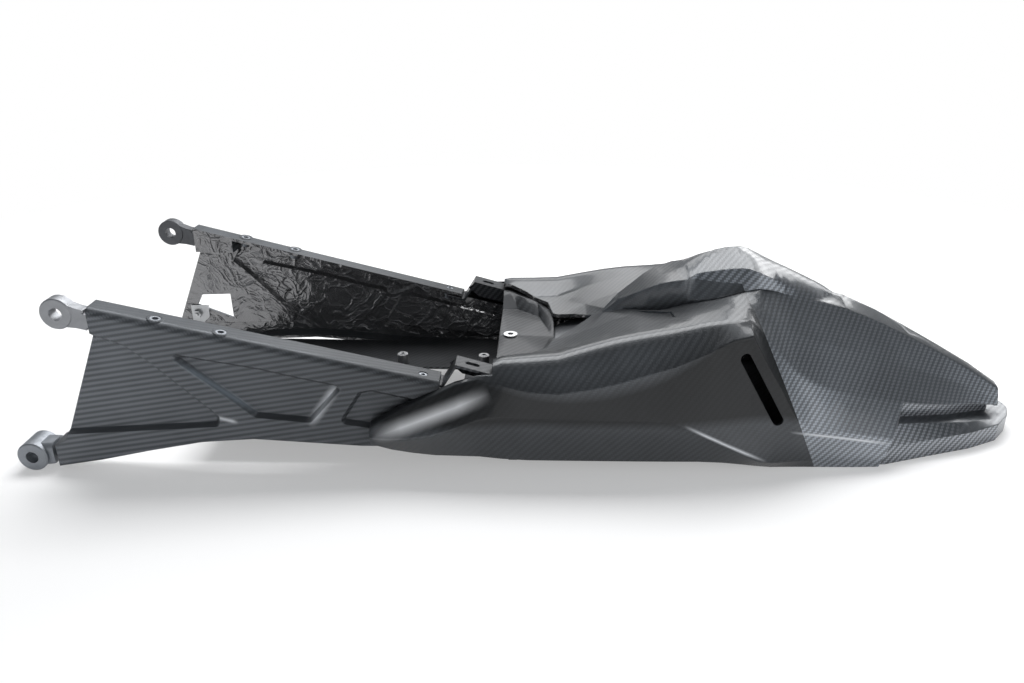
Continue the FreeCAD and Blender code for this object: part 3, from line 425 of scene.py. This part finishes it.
def make_floor():
    """White floor: near the part it takes the shadow, further out it runs into plain white."""
    n = Nodes("floor_white")
    path = n.add("ShaderNodeLightPath").outputs
    mirrored = n.math("MAXIMUM", path["Is Glossy Ray"], path["Is Transmission Ray"])
    seen = n.math("MAXIMUM", path["Is Camera Ray"], mirrored)
    x, y, _ = n.split(n.place())
    along = n.math("SUBTRACT", x, GLOW_MIDDLE)
    reach = n.math("SQRT", n.math("ADD", n.math("POWER", along, 2.0), n.math("POWER", y, 2.0)))
    beyond = n.math("SUBTRACT", reach, GLOW_START)
    glow = n.math("MAXIMUM", n.math("MULTIPLY_ADD", beyond, GLOW_RISE, FLOOR_GLOW, clamp=True), FLOOR_GLOW)
    lit = n.add("ShaderNodeBsdfDiffuse")
    lit.inputs["Color"].default_value = (*FLOOR_COLOUR, 1.0)
    white = n.add("ShaderNodeEmission")
    white.inputs["Strength"].default_value = 1.0
    n.finish(n.mix_shader(n.math("MULTIPLY", seen, glow), lit.outputs[0], white.outputs[0]))
    mesh = bpy.data.meshes.new("studio_floor")
    corners = [(-1, -1), (1, -1), (1, 1), (-1, 1)]
    mesh.from_pydata([(x * FLOOR_HALF, y * FLOOR_HALF, FLOOR_Z) for x, y in corners], [], [(0, 1, 2, 3)])
    mesh.materials.append(n.material)
    floor = bpy.data.objects.new("studio_floor", mesh)
    bpy.context.scene.collection.objects.link(floor)


def make_world():
    """Even light on the part, and plain white where the camera looks past everything."""
    world = bpy.data.worlds.new("studio")
    bpy.context.scene.world = world
    world.use_nodes = True
    tree = world.node_tree
    tree.nodes.clear()
    output = tree.nodes.new("ShaderNodeOutputWorld")
    path = tree.nodes.new("ShaderNodeLightPath").outputs
    mix = tree.nodes.new("ShaderNodeMixShader")
    tree.links.new(path["Is Camera Ray"], mix.inputs[0])
    for socket, colour, strength in ((mix.inputs[1], SKY_COLOUR, SKY), (mix.inputs[2], WHITE, 1.0)):
        light = tree.nodes.new("ShaderNodeBackground")
        light.inputs["Color"].default_value = (*colour, 1.0)
        light.inputs["Strength"].default_value = strength
        tree.links.new(light.outputs[0], socket)
    tree.links.new(mix.outputs[0], output.inputs["Surface"])


def softbox(name, place, target, width, height, power):
    """Rectangular soft lamp that looks at target."""
    light = bpy.data.lights.new(name, "AREA")
    light.shape = "RECTANGLE"
    light.size, light.size_y = width, height
    light.energy = power
    lamp = bpy.data.objects.new(name, light)
    bpy.context.scene.collection.objects.link(lamp)
    lamp.location = place
    lamp.rotation_mode = "QUATERNION"
    lamp.rotation_quaternion = (Vector(target) - Vector(place)).to_track_quat("-Z", "Y")


def make_camera():
    """Camera of the photograph, from its place and axes."""
    data = bpy.data.cameras.new("photo_camera")
    data.sensor_fit = "HORIZONTAL"
    data.sensor_width = SENSOR
    data.lens = FOCAL_PIXELS / IMAGE_WIDTH * SENSOR
    data.clip_start, data.clip_end = CLIP_NEAR, CLIP_FAR
    camera = bpy.data.objects.new("photo_camera", data)
    bpy.context.scene.collection.objects.link(camera)
    right, down, forward = (Vector(v) for v in (CAMERA_RIGHT, CAMERA_DOWN, CAMERA_FORWARD))
    turn = Matrix((right, -down, -forward)).transposed()
    camera.matrix_world = Matrix.Translation(CAMERA_PLACE) @ turn.to_4x4()
    bpy.context.scene.camera = camera


# Finish of each piece

rail_right = carbon("carbon_rail_right", RAIL_TURN, RAIL_TOWS, rough=0.46, coat=0.05,
                    zones=rail_painted_shade, inside=lambda n: rail_inside(n, 1.0))
rail_left = carbon("carbon_rail_left", RAIL_TURN, RAIL_TOWS, rough=0.46, coat=0.05,
                   zones=rail_painted_shade, inside=lambda n: rail_inside(n, -1.0), painted_highlights=RAIL_HIGHLIGHTS)
cowl_skin = carbon("carbon_cowl", COWL_TURN, COWL_TOWS, zones=cowl_painted_light, inside=cowl_inside,
                   painted_highlights=COWL_HIGHLIGHTS)
plain_carbon = carbon("carbon_plain", COWL_TURN, PLAIN_TOWS, rough=0.44, coat=0.15)
# painted light: lighter tows for the notch panel, which lies in shade
woven_carbon_painted_light = carbon("carbon_woven_painted_light", COWL_TURN, WOVEN_PAINTED_LIGHT_TOWS)
tail_skin = carbon("carbon_tail", COWL_TURN, TAIL_TOWS, rough=0.32, coat=0.3)
bright_metal = bare_metal("aluminium_bare", (0.60, 0.61, 0.62), 0.34)
worn_metal = bare_metal("aluminium_worn", (0.38, 0.39, 0.41), 0.40, dents=0.4, metallic=0.85)
# painted shade: a darker copy of the lug metal for the right upper lug
lug_metal_painted_shade = bare_metal("aluminium_painted_shade", (0.14, 0.145, 0.155), 0.42, dents=0.3, metallic=0.7)
dark_metal = bare_metal("aluminium_dark", (0.33, 0.35, 0.38), 0.42, dents=0.3, metallic=0.7)

LOOKS = {
    "right_rail": rail_right, "left_rail": rail_left, "tail_cowl": cowl_skin,
    "lower_tail": tail_skin, "undertray": plain_carbon, "seat_shelf": plain_carbon,
    "notch_panel": woven_carbon_painted_light, "battery_tray": plain_carbon,
    "right_seat_bracket": plain_carbon, "left_seat_bracket": plain_carbon,
    "right_upper_lug": lug_metal_painted_shade, "left_upper_lug": worn_metal,
    "right_lower_lug": dark_metal, "left_lower_lug": dark_metal,
    "flange_inserts": dark_metal, "small_inserts": dark_metal, "bracket_rivets": bright_metal,
    "shelf_insert": bright_metal, "tray_studs": bright_metal,
    "wiring_tab": bright_metal, "wiring_nut": bright_metal,
}
crisp, flowing = soft_faces(CRISP_BEND), soft_faces(FLOWING_BEND)
for node, material in LOOKS.items():
    dress(node, material)
    smooth(node, flowing if node == "tail_cowl" else crisp)

# Studio and camera

make_floor()
make_world()
for lamp in LAMPS:
    softbox(*lamp)
make_camera()
bpy.context.scene.view_settings.view_transform = "Standard"
